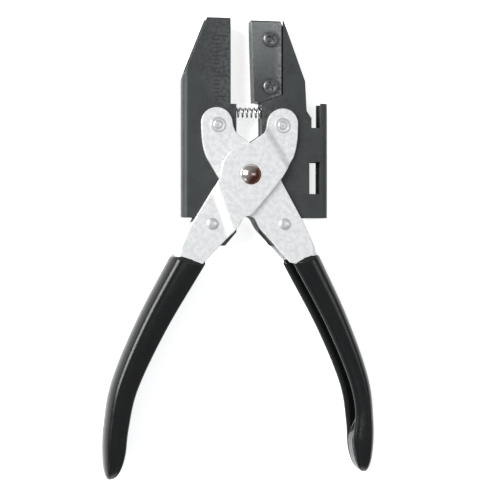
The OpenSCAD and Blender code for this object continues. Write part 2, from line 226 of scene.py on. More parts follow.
def mark_wear(obj: bpy.types.Object, low: float = 26.0, high: float = 44.0) -> None:
    """Adds the attribute "wear", 1 along rounded outer edges and 0 on faces.

    At each point it is a smooth step of the widest angle between the point's mean normal
    and the normals of its faces, doubled, so the middle line of a bevel is marked.

    Args:
        obj: the finished mesh object.
        low: angle in degrees at which wear starts.
        high: angle in degrees at which wear is full.
    """
    mesh = obj.data
    count, loops = len(mesh.vertices), len(mesh.loops)
    face_normals = np.zeros(len(mesh.polygons) * 3, np.float32)
    mesh.polygons.foreach_get("normal", face_normals)
    face_normals = face_normals.reshape(-1, 3)
    totals = np.zeros(len(mesh.polygons), np.int32)
    mesh.polygons.foreach_get("loop_total", totals)
    corner = np.zeros(loops, np.int32)
    mesh.loops.foreach_get("vertex_index", corner)
    of_face = np.repeat(np.arange(len(totals)), totals)
    mean = np.zeros((count, 3))
    np.add.at(mean, corner, face_normals[of_face])
    mean /= np.maximum(np.linalg.norm(mean, axis=1, keepdims=True), 1e-9)
    cosine = np.einsum("ij,ij->i", mean[corner], face_normals[of_face])
    least = np.ones(count)
    np.minimum.at(least, corner, cosine)
    spread = 2 * np.degrees(np.arccos(np.clip(least, -1, 1)))
    layer = mesh.attributes.get("wear") or mesh.attributes.new("wear", "FLOAT", "POINT")
    layer.data.foreach_set("value", smooth_step(spread, low, high).astype(np.float32))


def softened_copy(node: str, name: str, width: float, segments: int = 2) -> bpy.types.Object:
    """A copy of a CAD node with merged points, flat faces joined and its edges rounded.

    Args:
        node: the CAD node that is copied.
        name: name of the new piece.
        width: size of the rounded edge in metres.
        segments: number of strips across a rounded edge.

    Returns:
        The new object, with the modifiers applied.
    """
    source = bpy.data.objects[node]
    mesh = source.data.copy()
    mesh.name = name
    mesh.materials.clear()
    obj = bpy.data.objects.new(name, mesh)
    bpy.context.scene.collection.objects.link(obj)
    work = bmesh.new()
    work.from_mesh(mesh)
    bmesh.ops.remove_doubles(work, verts=work.verts, dist=2e-6)
    bmesh.ops.dissolve_limit(
        work, angle_limit=math.radians(0.5), verts=work.verts, edges=work.edges
    )
    work.to_mesh(mesh)
    work.free()
    bevel = obj.modifiers.new("rounded_edges", "BEVEL")
    bevel.width, bevel.segments = width, segments
    bevel.limit_method, bevel.angle_limit = "ANGLE", math.radians(38)
    bevel.miter_outer = "MITER_ARC"
    bevel.harden_normals = False
    obj.data.shade_smooth()
    flat = obj.modifiers.new("flat_faces", "WEIGHTED_NORMAL")
    flat.keep_sharp = False
    flat.weight = 80
    apply_modifiers(obj)
    mark_wear(obj)
    return obj


def revolve(profile: np.ndarray, steps: int) -> Skin:
    """A closed surface of revolution about the z axis.

    Point (r, z) of the profile at turn q is (r cos q, r sin q, z).

    Args:
        profile: (n, 2) radius and height, from the axis out and back, or a closed ring.
        steps: number of points round the axis.

    Returns:
        The points and the faces.
    """
    q = np.linspace(0, 2 * np.pi, steps, endpoint=False)[:, None]
    r, z = profile[None, :, 0], profile[None, :, 1]
    points = np.stack([r * np.cos(q), r * np.sin(q), z + 0 * q], -1)
    ring = np.vstack([points, points[:1]]).reshape(-1, 3)
    return ring, list(quads(steps + 1, len(profile), False))


# ---------------------------------------------------------------------------
# Materials
# ---------------------------------------------------------------------------


class Graph:
    """Short calls that add nodes to one node tree."""

    def __init__(self, tree: bpy.types.NodeTree) -> None:
        """Keeps the tree that the calls add to."""
        self.tree = tree

    def add(self, kind: str, **values: object) -> bpy.types.Node:
        """A new node of that kind with its properties set."""
        node = self.tree.nodes.new(kind)
        for key, value in values.items():
            setattr(node, key, value)
        return node

    def feed(self, socket: bpy.types.NodeSocket, value: object) -> None:
        """Links an output to a socket, or sets the socket to a plain value."""
        if isinstance(value, bpy.types.NodeSocket):
            self.tree.links.new(value, socket)
        elif isinstance(value, tuple) and len(value) == 3 and socket.type == "RGBA":
            socket.default_value = (*value, 1.0)
        else:
            socket.default_value = value

    def noise(self, vector: object, scale: object, detail: float = 3.0,
              rough: float = 0.55) -> bpy.types.NodeSocket:
        """Fractal noise from 0 to 1, with scale in cycles per metre."""
        node = self.add("ShaderNodeTexNoise")
        self.feed(node.inputs["Vector"], vector)
        self.feed(node.inputs["Scale"], scale)
        node.inputs["Detail"].default_value = detail
        node.inputs["Roughness"].default_value = rough
        return node.outputs["Fac"]

    def math(self, operation: str, a: object, b: object = 0.0,
             clamp: bool = False) -> bpy.types.NodeSocket:
        """One arithmetic step on two values."""
        node = self.add("ShaderNodeMath", operation=operation, use_clamp=clamp)
        self.feed(node.inputs[0], a)
        self.feed(node.inputs[1], b)
        return node.outputs[0]

    def span(self, value: object, low: object, high: object, to_low: object = 0.0,
             to_high: object = 1.0) -> bpy.types.NodeSocket:
        """The value carried from one range to another, held at the ends."""
        node = self.add("ShaderNodeMapRange", clamp=True)
        node.interpolation_type = "SMOOTHSTEP"
        for name, given in (("Value", value), ("From Min", low), ("From Max", high),
                            ("To Min", to_low), ("To Max", to_high)):
            self.feed(node.inputs[name], given)
        return node.outputs["Result"]

    def mix(self, share: object, a: object, b: object) -> bpy.types.NodeSocket:
        """Two colours mixed by a share from 0 to 1."""
        node = self.add("ShaderNodeMix", data_type="RGBA", blend_type="MIX")
        self.feed(node.inputs["Factor"], share)
        self.feed(node.inputs[6], a)
        self.feed(node.inputs[7], b)
        return node.outputs[2]


def group_tree(name: str, inputs: dict[str, tuple[str, float]],
               outputs: list[str]) -> tuple[Graph, dict, bpy.types.Node]:
    """A shader node group with named sockets.

    Args:
        name: the group's name.
        inputs: socket name to (socket type, default value).
        outputs: names of the float outputs.

    Returns:
        The group's graph, its input sockets by name, and its output node.
    """
    tree = bpy.data.node_groups.new(name, "ShaderNodeTree")
    for key, (kind, start) in inputs.items():
        socket = tree.interface.new_socket(key, in_out="INPUT", socket_type=kind)
        if kind == "NodeSocketFloat":
            socket.default_value = start
    for key in outputs:
        tree.interface.new_socket(key, in_out="OUTPUT", socket_type="NodeSocketFloat")
    graph = Graph(tree)
    given = graph.add("NodeGroupInput")
    result = graph.add("NodeGroupOutput")
    return graph, {key: given.outputs[key] for key in inputs}, result


def grain_group() -> bpy.types.NodeTree:
    """Metal surface: broad mottling, fine grain and a height made of both.

    Returns:
        A group with inputs Vector, Patch, Grain and Depth, and outputs Mottle, Fine
        and Height.
    """
    graph, given, result = group_tree(
        "surface_grain",
        {"Vector": ("NodeSocketVector", 0.0), "Patch": ("NodeSocketFloat", 200.0),
         "Grain": ("NodeSocketFloat", 2500.0), "Depth": ("NodeSocketFloat", 1.0)},
        ["Mottle", "Fine", "Height"],
    )
    broad = graph.noise(given["Vector"], given["Patch"], 4.0, 0.6)
    fine = graph.noise(given["Vector"], given["Grain"], 2.0, 0.5)
    mottle = graph.span(broad, 0.34, 0.66)
    height = graph.math("ADD", graph.math("MULTIPLY", broad, 1.5), fine)
    graph.feed(result.inputs["Mottle"], mottle)
    graph.feed(result.inputs["Fine"], fine)
    graph.feed(result.inputs["Height"], graph.math("MULTIPLY", height, given["Depth"]))
    return graph.tree


def wear_group() -> bpy.types.NodeTree:
    """Worn edges: the mesh's wear attribute, broken up by noise.

    Returns:
        A group with inputs Vector, Size and Amount, and the output Mask.
    """
    graph, given, result = group_tree(
        "edge_wear",
        {"Vector": ("NodeSocketVector", 0.0), "Size": ("NodeSocketFloat", 600.0),
         "Amount": ("NodeSocketFloat", 0.6)},
        ["Mask"],
    )
    edge = graph.add("ShaderNodeAttribute", attribute_name="wear").outputs["Fac"]
    broken = graph.span(graph.noise(given["Vector"], given["Size"], 4.0, 0.65), 0.35, 0.62)
    mask = graph.math("MULTIPLY", graph.math("MULTIPLY", edge, broken), given["Amount"])
    graph.feed(result.inputs["Mask"], mask)
    return graph.tree


def brush_group() -> bpy.types.NodeTree:
    """Ground metal: fine lines along Y with a slow change between them.

    Returns:
        A group with inputs Vector, Lines and Stretch, and the output Lines.
    """
    graph, given, result = group_tree(
        "ground_lines",
        {"Vector": ("NodeSocketVector", 0.0), "Lines": ("NodeSocketFloat", 3000.0),
         "Stretch": ("NodeSocketFloat", 0.03)},
        ["Lines"],
    )
    parts = graph.add("ShaderNodeSeparateXYZ")
    graph.feed(parts.inputs[0], given["Vector"])
    joined = graph.add("ShaderNodeCombineXYZ")
    graph.feed(joined.inputs["X"], parts.outputs["X"])
    graph.feed(joined.inputs["Y"], graph.math("MULTIPLY", parts.outputs["Y"], given["Stretch"]))
    graph.feed(joined.inputs["Z"], parts.outputs["Z"])
    graph.feed(result.inputs["Lines"], graph.noise(joined.outputs[0], given["Lines"], 3.0, 0.6))
    return graph.tree


@dataclass(frozen=True)
class Finish:
    """One surface finish: its colours, its gloss, the size of its detail and, where given, a ramp
    of painted shade.
    """

    name: str
    base: Colour
    dark: Colour
    worn: Colour
    metallic: float
    rough_low: float
    rough_high: float
    patch: float = 220.0
    grain: float = 2500.0
    contrast: float = 0.6
    bump: float = 0.02
    wear: float = 0.5
    lines: float = 0.0
    specular: float = 0.5
    # Two places (x, y) in metres. The colour darkens from the first place to the second: a painted
    # shade and reflection gradient.
    painted_shade_ramp: tuple[tuple[float, float], tuple[float, float]] | None = None

    def painted_shade_share(self, graph: Graph, place: bpy.types.NodeSocket) -> bpy.types.NodeSocket:
        """Share of the dark colour as painted shade, 0 at the ramp's first place and 1 at its
        second.
        """
        (x0, y0), (x1, y1) = self.painted_shade_ramp
        run = (x1 - x0) ** 2 + (y1 - y0) ** 2
        parts = graph.add("ShaderNodeSeparateXYZ")
        graph.feed(parts.inputs[0], place)
        along_x = graph.math("MULTIPLY", parts.outputs["X"], (x1 - x0) / run)
        along_y = graph.math("MULTIPLY", parts.outputs["Y"], (y1 - y0) / run)
        start = (x0 * (x1 - x0) + y0 * (y1 - y0)) / run
        return graph.span(graph.math("ADD", along_x, along_y), start, start + 1.0)

    def build(self, groups: dict[str, bpy.types.NodeTree]) -> bpy.types.Material:
        """The finish as a node material on Object coordinates.

        Args:
            groups: the shared node groups by name.

        Returns:
            The new material.
        """
        material = bpy.data.materials.new(self.name)
        material.use_nodes = True
        graph = Graph(material.node_tree)
        shader = material.node_tree.nodes["Principled BSDF"]
        place = graph.add("ShaderNodeTexCoord").outputs["Object"]
        grain = graph.add("ShaderNodeGroup", node_tree=groups["grain"])
        wear = graph.add("ShaderNodeGroup", node_tree=groups["wear"])
        for node in (grain, wear):
            graph.feed(node.inputs["Vector"], place)
        grain.inputs["Patch"].default_value = self.patch
        grain.inputs["Grain"].default_value = self.grain
        grain.inputs["Depth"].default_value = 1.0
        wear.inputs["Amount"].default_value = self.wear
        share = graph.math("MULTIPLY", grain.outputs["Mottle"], self.contrast, clamp=True)
        # A straight ramp from the base colour to the dark one across the piece: painted shade,
        # added to the mottling.
        if self.painted_shade_ramp:
            across = self.painted_shade_share(graph, place)
            share = graph.math("ADD", graph.math("MULTIPLY", share, 0.35), across, clamp=True)
        colour = graph.mix(share, self.base, self.dark)
        height = grain.outputs["Height"]
        rough = graph.span(grain.outputs["Fine"], 0.3, 0.7, self.rough_low, self.rough_high)
        if self.lines:
            brush = graph.add("ShaderNodeGroup", node_tree=groups["brush"])
            graph.feed(brush.inputs["Vector"], place)
            lines = brush.outputs["Lines"]
            colour = graph.mix(graph.math("MULTIPLY", lines, self.lines), colour, self.dark)
            height = graph.math("ADD", height, graph.math("MULTIPLY", lines, 2.0))
        colour = graph.mix(wear.outputs["Mask"], colour, self.worn)
        graph.feed(shader.inputs["Base Color"], colour)
        graph.feed(shader.inputs["Roughness"], rough)
        shader.inputs["Metallic"].default_value = self.metallic
        shader.inputs["Specular IOR Level"].default_value = self.specular
        bump = graph.add("ShaderNodeBump")
        bump.inputs["Strength"].default_value = 1.0
        bump.inputs["Distance"].default_value = self.bump * MM
        graph.feed(bump.inputs["Height"], height)
        graph.feed(shader.inputs["Normal"], bump.outputs[0])
        return material


FINISHES = {
    Slot.PHOSPHATE: Finish(
        "phosphated_sheet", (0.035, 0.039, 0.040), (0.023, 0.026, 0.027), (0.13, 0.135, 0.135),
        metallic=0.2, rough_low=0.46, rough_high=0.6, patch=90, grain=4200,
        contrast=0.8, bump=0.014, wear=0.4),
    Slot.TOOL_STEEL: Finish(
        "blued_steel", (0.050, 0.054, 0.056), (0.034, 0.037, 0.038), (0.20, 0.20, 0.20),
        metallic=0.6, rough_low=0.34, rough_high=0.48, patch=180, lines=0.3, bump=0.012),
    Slot.ANVIL_BRASS: Finish(
        "milled_brass", (0.60, 0.43, 0.18), (0.42, 0.28, 0.11), (0.80, 0.64, 0.36),
        metallic=1.0, rough_low=0.24, rough_high=0.38, patch=150, lines=0.4, bump=0.015),
    # The blade's ramp is a painted reflection gradient: lighter at the top (+Y) and darker towards
    # the bottom.
    Slot.BLADE_STEEL: Finish(
        "ground_blade", (0.165, 0.178, 0.178), (0.055, 0.060, 0.061), (0.50, 0.51, 0.51),
        metallic=0.5, rough_low=0.44, rough_high=0.50, patch=60, contrast=0.3, lines=0.08,
        bump=0.001, wear=0.35, painted_shade_ramp=((0.0, 0.116), (0.0, 0.070))),
    Slot.DARK_SCREW: Finish(
        "oiled_screw", (0.17, 0.172, 0.174), (0.05, 0.05, 0.05), (0.55, 0.55, 0.55),
        metallic=0.8, rough_low=0.24, rough_high=0.38, patch=500, bump=0.004, wear=0.6),
    Slot.SPRING_STEEL: Finish(
        "bright_wire", (0.62, 0.63, 0.64), (0.42, 0.43, 0.44), (0.8, 0.8, 0.8),
        metallic=1.0, rough_low=0.16, rough_high=0.28, patch=700, bump=0.004, wear=0.0),
    Slot.PLATED_STEEL: Finish(
        "plated_steel", (0.78, 0.79, 0.785), (0.56, 0.57, 0.57), (0.88, 0.88, 0.88),
        metallic=0.5, rough_low=0.42, rough_high=0.55, patch=420, grain=1300,
        contrast=0.55, bump=0.09, wear=0.3),
    Slot.ZINC_FASTENER: Finish(
        "plated_fastener", (0.70, 0.705, 0.71), (0.52, 0.53, 0.54), (0.85, 0.85, 0.85),
        metallic=0.75, rough_low=0.30, rough_high=0.42, patch=500, bump=0.004, wear=0.3),
    # The rivet's ramp is painted shade: its upper-left side stays light and its lower-right side
    # goes dark brown.
    Slot.POLISHED_RIVET: Finish(
        "polished_rivet", (0.66, 0.61, 0.58), (0.13, 0.055, 0.035), (0.9, 0.88, 0.86),
        metallic=1.0, rough_low=0.15, rough_high=0.22, patch=260, bump=0.002, wear=0.0,
        painted_shade_ramp=((0.0012, 0.0376), (0.0064, 0.0346))),
    Slot.GRIP_VINYL: Finish(
        "dipped_vinyl", (0.004, 0.0045, 0.0045), (0.0025, 0.003, 0.003), (0.006, 0.006, 0.006),
        metallic=0.0, rough_low=0.20, rough_high=0.27, patch=90, grain=500,
        contrast=0.5, bump=0.012, wear=0.0, specular=0.36),
}


MARK_INK = Finish(
    "mark_ink", (0.012, 0.013, 0.013), (0.020, 0.021, 0.021), (0.05, 0.05, 0.05),
    metallic=0.0, rough_low=0.5, rough_high=0.7, patch=900, bump=0.004, wear=0.0)


# ---------------------------------------------------------------------------
# The tool's own place in the frame
# ---------------------------------------------------------------------------


def box_middle(node: str) -> np.ndarray:
    """The middle of a CAD node's box."""
    low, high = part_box(node)
    return np.array([(low.x + high.x) / 2, (low.y + high.y) / 2, (low.z + high.z) / 2])


@dataclass(frozen=True)
class ToolFrame:
    """Where the tool's own axes lie: the centre rivet, and the middle of its thickness."""

    centre: np.ndarray
    pivot: np.ndarray
    low_out: float
    high_out: float
    grip_out: float

    @classmethod
    def measured(cls) -> "ToolFrame":
        """Reads the place and the heights from the CAD nodes' boxes."""
        centre = np.append(box_middle("centre_rivet")[:2], box_middle("left_cover")[2])
        return cls(
            centre,
            pivot=box_middle("front_pin_b")[:2] - centre[:2],
            low_out=centre[2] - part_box("handle_b")[0].z,
            high_out=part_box("handle_b")[1].z - centre[2],
            grip_out=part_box("grip_b")[1].z - centre[2],
        )

    def place(self, points: np.ndarray, turned: bool = False) -> np.ndarray:
        """Tool points put into the frame, after half a turn about Y if turned."""
        if turned:
            points = points * np.array([-1.0, 1.0, -1.0])
        return points + self.centre


@dataclass
class Builder:
    """What every sub-assembly needs: the tool's place and the finished materials."""

    tool: ToolFrame
    materials: dict[Slot, bpy.types.Material]
    groups: dict[str, bpy.types.NodeTree]
    pieces: list[str] = field(default_factory=list)

    def dress(self, obj: bpy.types.Object, body: Body, slot: Slot,
              nodes: tuple[str, ...] = ()) -> bpy.types.Object:
        """Gives a piece its material, its body and the CAD nodes that it stands for.

        Args:
            obj: the finished piece.
            body: the body that it rides on.
            slot: the record's material slot.
            nodes: the CAD nodes that it replaces.

        Returns:
            The same piece.
        """
        obj.data.materials.clear()
        obj.data.materials.append(self.materials[slot])
        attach(obj, body.value)
        if nodes:
            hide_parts(*nodes)
        self.pieces.append(obj.name)
        LOG.info("built %s on %s, %d faces", obj.name, body.value, len(obj.data.polygons))
        return obj

    def soften(self, node: str, body: Body, slot: Slot, width: float) -> bpy.types.Object:
        """A CAD node shown as a copy with rounded edges."""
        piece = softened_copy(node, node + "_finished", width)
        return self.dress(piece, body, slot, (node,))


# ---------------------------------------------------------------------------
# Handles
# ---------------------------------------------------------------------------


def circle_arc(centre: np.ndarray, r: float, q0: float, q1: float, n: int) -> np.ndarray:
    """Points of a circle's arc between two turns in degrees."""
    q = np.radians(np.linspace(q0, q1, n))
    return centre + r * np.stack([np.cos(q), np.sin(q)], 1)


@dataclass
class Handle:
    """One handle: the channel pressing and its dipped grip.

    Its shape is worked out for the front handle, whose grip is on the left; the back
    handle is the same shape after half a turn about Y, with the set of its arm reversed.
    """

    builder: Builder
    letter: str
    body: Body
    turned: bool
    arm_set: float
    plate: float = 2.0 * MM
    boss: float = 15.0 * MM
    lobe: float = 7.9 * MM
    lobe_shift: tuple[float, float] = (0.3, 0.7)
    lobe_tip: float = 57.0
    lift_run: float = 3.8 * MM
    lip_round: float = 0.45 * MM
    bend: float = 3.9 * MM
    coat_edge: float = 1.2 * MM
    coat_face: float = 2.1 * MM
    grip_top: float = 8.4 * MM
    grip_tip: float = 5.6 * MM
    grip_len: float = 110.0 * MM
    tip_len: float = 11.0 * MM
    tip_inset: float = 0.2 * MM
    tip_taper: float = 17.0 * MM
    tip_lean: float = 0.22
    flange_step: float = 2.5 * MM
    dip_tilt: float = 15.0
    arm_top: tuple[float, float] = (-28.0 * MM, -40.0 * MM)
    web_top: float = -23.6 * MM
    joggles: tuple[tuple[float, float, float], ...] = (
        (-14.1 * MM, -17.3 * MM, 19.7), (14.6 * MM, 11.8 * MM, 211.7))
    dip_thinned: float = 0.85
    dip_run: float = 2.2 * MM
    wave_run: float = 9.0 * MM
    tilt_run: float = 16.0 * MM
    wave_slow: float = 0.5 * MM
    wave_quick: float = 0.4 * MM
    groove_round: float = 1.6 * MM
    groove_most: float = 0.6
    floor_closed: float = 0.995
    floor_most: float = 0.96
    close_before: float = 16.0 * MM
    close_after: float = 1.0 * MM
    crown_share: float = 0.3
    sag_share: float = 0.19
    dome_power: float = 2.2
    path_rows: int = 90
    end_rows: int = 8

    def middle_line(self) -> tuple[np.ndarray, np.ndarray, np.ndarray]:
        """Middle line of the grip, its outward sides and its half widths.

        Returns:
            (n, 2) points, (n, 2) unit sides and (n,) half widths.
        """
        x, y = self.arm_top
        share = np.array([[0, 0], [0.161, 0.3], [0.276, 0.573], [0.31, 0.76], [0.317, 0]])
        points = np.array([x, y]) - share * self.grip_len
        points[-1, 1] = y - self.grip_len + self.tip_len
        line = spline(points, self.path_rows)
        along = np.gradient(line, axis=0)
        along /= np.linalg.norm(along, axis=1, keepdims=True)
        side = np.stack([along[:, 1], -along[:, 0]], 1)
        half = np.linspace(self.grip_top, self.grip_tip, self.path_rows)
        return line, side, half

    def set_over(self, points: np.ndarray) -> np.ndarray:
        """Points below the rivet moved sideways by arm_set times their depth."""
        moved = points.copy()
        moved[..., 0] += self.arm_set * np.minimum(points[..., 1], 0.0)
        return moved

    def rails(self) -> tuple[np.ndarray, np.ndarray, int, int]:
        """The pressing's outer and inner edges, matched row by row.

        Returns:
            (n, 2) outer edge, (n, 2) inner edge, the row where the web starts and the row
            where the grip starts.
        """
        pivot = self.builder.tool.pivot
        line, side, half = (part[:-self.end_rows] for part in self.middle_line())
        steel = (half - self.coat_edge)[:, None]
        grip_outer, grip_inner = line + steel * side, line - steel * side
        grip_outer[0] += 0.5 * self.coat_edge * side[0]
        lobe = pivot + mm(self.lobe_shift)[0]
        tip = self.lobe_tip
        neck_out = pivot + mm((-7.9, -1.6), (-8.9, -3.8), (-12.0, -5.9))
        boss_start = [[-0.9 * MM, self.boss]]
        arm_out = mm((-15.6, -2.4), (-27.3, -22.6))
        web_start = [[-27.9 * MM, self.web_top]]
        neck_in = pivot + mm((7.9, -6.0), (7.2, -11.0))
        shoulder_in = np.vstack([
            [[pivot[0] + 6.2 * MM, 9.4 * MM]], mm((15.9, -1.6), (10.4, -8.6))])
        arm_in = mm((9.6, -9.6), (0.9, -20.3), (-2.9, -21.0), (-5.4, -25.9))
        web_in = mm((-5.7, -26.5), (-13.8, -35.1))
        outer_parts = [
            (circle_arc(lobe, self.lobe, tip, 178, 24), 16),
            (np.vstack([neck_out, boss_start]), 10),
            (circle_arc(np.zeros(2), self.boss, 93, 184, 30), 26),
            (arm_out, 22),
            (np.vstack([web_start, grip_outer[:1]]), 16),
        ]
        inner_parts = [
            (circle_arc(lobe, self.lobe, tip, 2, 18), 16),
            (neck_in, 10),
            (shoulder_in, 26),
            (arm_in, 22),
            (np.vstack([web_in, grip_inner[:1]]), 16),
        ]
        sides = []
        for parts, tail in ((outer_parts, grip_outer), (inner_parts, grip_inner)):
            rail = np.vstack([resample(points, count) for points, count in parts] + [tail[1:]])
            sides.append(self.set_over(relaxed(rail, 2, tail_rows=len(tail) - 1)))
        counts = [count for _, count in outer_parts]
        return sides[0], sides[1], sum(counts[:4]), sum(counts)

    def raised(self, points: np.ndarray) -> np.ndarray:
        """Share of the lift at each point, 0 or 1 with a smooth joggle between.

        It is the product of two smooth steps of the distance from two slanted lines, one
        across the arm below the rivet and one across the arm above it.
        """
        share = np.ones(points.shape[:-1])
        for x, y, turn in self.joggles:
            q = math.radians(turn)
            along_x = (points[..., 0] - x) * math.cos(q)
            along_y = (points[..., 1] - y) * math.sin(q)
            run = self.lift_run / 2
            share = share * smooth_step(along_x + along_y, -run, run)
        return share

    def pressing(self) -> bpy.types.Object:
        """The channel pressing as one closed skin.

        Each row is one ring round the plate: the front cheek from its inner lip to its
        outer edge, the web, the back cheek, and back along the inner faces. Above the web
        the ring is two separate loops, one for each cheek. A cheek's height is its level
        plus the lift times the joggle's share, and its edges are quarter circles, whose
        outer one opens from a small radius at the top of the web to the full bend.

        Returns:
            The pressing, dressed and riding on its body.
        """
        tool = self.builder.tool
        outer, inner, web_row, grip_row = self.rails()
        rows, across, arc_n, web_n = len(outer), 44, 8, 3
        low_in = tool.low_out - self.plate
        lift = tool.high_out - tool.low_out
        full = np.linalg.norm(outer - inner, axis=1)
        direction = (outer - inner) / np.maximum(full, 1e-9)[:, None]
        direction[0] = direction[1]
        row = np.arange(rows).astype(float)
        trim = self.flange_step * smooth_step(row, grip_row - 1, grip_row + 1)
        quarter = np.linspace(0, np.pi / 2, arc_n)

        def cheek(sign: float, lifted: float, cut: np.ndarray) -> tuple[np.ndarray, np.ndarray]:
            """Outer and inner skins of one cheek, from its lip to the web."""
            width = full - cut
            bend = self.lip_round + (self.bend - self.lip_round) * smooth_step(
                row, web_row, web_row + 30)
            bend = np.minimum(bend, 0.42 * width)
            lip = np.minimum(self.lip_round, 0.4 * width)

            def skin(offset: np.ndarray, drop: np.ndarray, level: float) -> np.ndarray:
                plan = inner[:, None] + (cut[:, None] + offset)[..., None] * direction[:, None]
                z = level + lifted * lift * self.raised(plan) - drop
                return np.dstack([plan, sign * z])

            lip_in = lip[:, None] * (1 - np.cos(quarter))[None]
            lip_drop = lip[:, None] * (1 - np.sin(quarter))[None]
            flat = np.linspace(0, 1, across)[None]
            span = lip[:, None] + flat[:, 1:-1] * (width - lip - bend)[:, None]
            round_out = (width - bend)[:, None] + bend[:, None] * np.sin(quarter)[None]
            round_drop = bend[:, None] * (1 - np.cos(quarter))[None]
            top = np.hstack([np.zeros((rows, 1)), lip_in, span, round_out, width[:, None]])
            foot = np.full((rows, 1), self.plate)
            drop = np.hstack([
                foot, lip_drop, 0 * span, round_drop,
                np.maximum(self.plate, bend)[:, None],
            ])
            wall = np.minimum(self.plate, 0.45 * width)[:, None]
            hollow = np.maximum(bend - self.plate, 0.0)[:, None]
            corner_in = width[:, None] - wall - hollow * (1 - np.cos(quarter))[None]
            corner_drop = hollow * (1 - np.sin(quarter))[None]
            under = corner_in[:, -1:] * (1 - flat[:, 1:-1])
            bottom = np.hstack([corner_in, under])
            under_drop = np.hstack([corner_drop, 0 * under])
            return (skin(top, drop, tool.low_out), skin(bottom, under_drop, low_in))

        front_top, front_under = cheek(1.0, 1.0, 0 * trim)
        back_top, back_under = cheek(-1.0, 0.0, trim)
        steps = np.linspace(0, 1, web_n + 2)[1:-1][None, :, None]
        web_out = front_top[:, -1:] + steps * (back_top[:, -1:] - front_top[:, -1:])
        web_in = back_under[:, :1] + steps * (front_under[:, :1] - back_under[:, :1])
        ring = np.concatenate(
            [front_top, web_out, back_top[:, ::-1], back_under[:, ::-1], web_in, front_under], 1)
        cols, edge = ring.shape[1], front_top.shape[1] - 1
        under_n = front_under.shape[1]
        back_edge = edge + 1 + web_n
        back_foot = back_edge + edge
        back_corner = back_foot + under_n
        front_corner = back_corner + web_n + 1
        column = np.tile(np.arange(cols), rows - 1)
        at_row = np.repeat(np.arange(rows - 1), cols)
        faces = quads(rows, cols, True)
        is_web = ((column >= edge) & (column < back_edge)) | (
            (column >= back_corner) & (column < front_corner))
        faces = list(faces[~(is_web & (at_row < web_row))])
        for a, b in ((edge, front_corner), (back_corner, back_edge)):
            r = np.arange(web_row)
            faces += list(np.stack(
                [r * cols + a, r * cols + b, (r + 1) * cols + b, (r + 1) * cols + a], 1))
        base = web_row * cols
        faces.append(base + np.concatenate(
            [np.arange(edge, back_edge + 1), np.arange(back_corner, front_corner + 1)]))
        faces.append((rows - 1) * cols + np.arange(cols))
        points = tool.place(ring.reshape(-1, 3), self.turned)
        piece = make_object(f"pressing_{self.letter}", points, faces)
        shade(piece, 40)
        mark_wear(piece, 14, 34)
        return self.builder.dress(
            piece, self.body, Slot.PLATED_STEEL, (f"handle_{self.letter}",))

    def grip(self) -> bpy.types.Object:
        """The dipped grip as one closed skin, open inwards.

        Each row is a C-shaped ring across the arm: domed on both faces, with a groove along
        the inner side and the second flange narrower than the first. Towards the tip the
        ring shrinks as a quarter ellipse and leans outwards, and the groove fades out. The
        top edge follows a slow wave round the ring, as a dipped edge does, and thins down
        to the steel over its first rows.

        Returns:
            The grip, dressed and riding on its body.
        """
        tool = self.builder.tool
        line, side, half = self.middle_line()
        line, side, half = line[1:], side[1:], half[1:]
        reach = np.concatenate([[0], np.cumsum(np.linalg.norm(np.diff(line, axis=0), axis=1))])
        end = reach[-1] + self.tip_len - self.tip_inset
        tip_start = end - self.tip_taper
        # Rows stand closest at the dipped edge and over the tip, where the shape turns.
        over_tip = np.sin(np.linspace(0, np.pi / 2 - 0.03, 40)[1:])
        at = np.concatenate([
            np.linspace(0, 2.4, 9) * MM, np.linspace(3.2, 60, 44) * MM,
            np.linspace(61 * MM, tip_start, 30), tip_start + self.tip_taper * over_tip,
        ])
        along = np.stack([-side[:, 1], side[:, 0]], 1)
        centre = np.stack([np.interp(at, reach, line[:, k]) for k in (0, 1)], 1)
        across = np.stack([np.interp(at, reach, side[:, k]) for k in (0, 1)], 1)
        centre = centre + np.maximum(at - reach[-1], 0)[:, None] * along[-1]
        w = np.interp(at, reach, half)
        into_tip = np.clip((at - tip_start) / self.tip_taper, 0, 1)
        shrink = np.sqrt(1 - into_tip ** 2)
        centre = centre + (self.tip_lean * w * (1 - shrink))[:, None] * across
        thin = (1 - smooth_step(at, 0.0, self.dip_run)) * self.dip_thinned
        w_side = (w - thin * self.coat_edge) * shrink
        h = (tool.grip_out - thin * self.coat_face) * shrink ** 0.8
        closed = smooth_step(at, tip_start - self.close_before, tip_start + self.close_after)
        groove = tool.low_out - self.plate - self.coat_edge * (1 - thin)
        groove = np.minimum(groove, self.groove_most * h)
        floor = w - self.plate - self.coat_edge * (2 - thin)
        # The floor comes out to the inner side as the groove closes, and stays inside the skin.
        floor = floor * (1 - closed) - self.floor_closed * w_side * closed
        floor = np.minimum(floor, self.floor_most * w_side)
        step = self.flange_step * (1 - closed) * shrink
        u, v = self.grip_section(w_side, h, groove, floor, step)
        q = np.linspace(0, 2 * np.pi, u.shape[1], endpoint=False)[None]
        wave = self.wave_slow * np.sin(2 * q + 0.6) + self.wave_quick * np.sin(5 * q + 2.0)
        tilt = -math.tan(math.radians(self.dip_tilt)) * u
        pull = wave * (1 - smooth_step(at, 0.0, self.wave_run))[:, None]
        pull = pull + tilt * (1 - smooth_step(at, 0.0, self.tilt_run))[:, None]
        lead = -across[:, None, ::-1] * np.array([-1.0, 1.0])
        plan = centre[:, None] + u[..., None] * across[:, None] + pull[..., None] * lead
        ring = np.dstack([self.set_over(plan), v])
        piece = make_object(
            f"grip_{self.letter}_dipped", tool.place(ring.reshape(-1, 3), self.turned),
            capped_tube(*ring.shape[:2]))
        shade(piece, 60)
        mark_wear(piece, 60, 80)
        return self.builder.dress(piece, self.body, Slot.GRIP_VINYL, (f"grip_{self.letter}",))

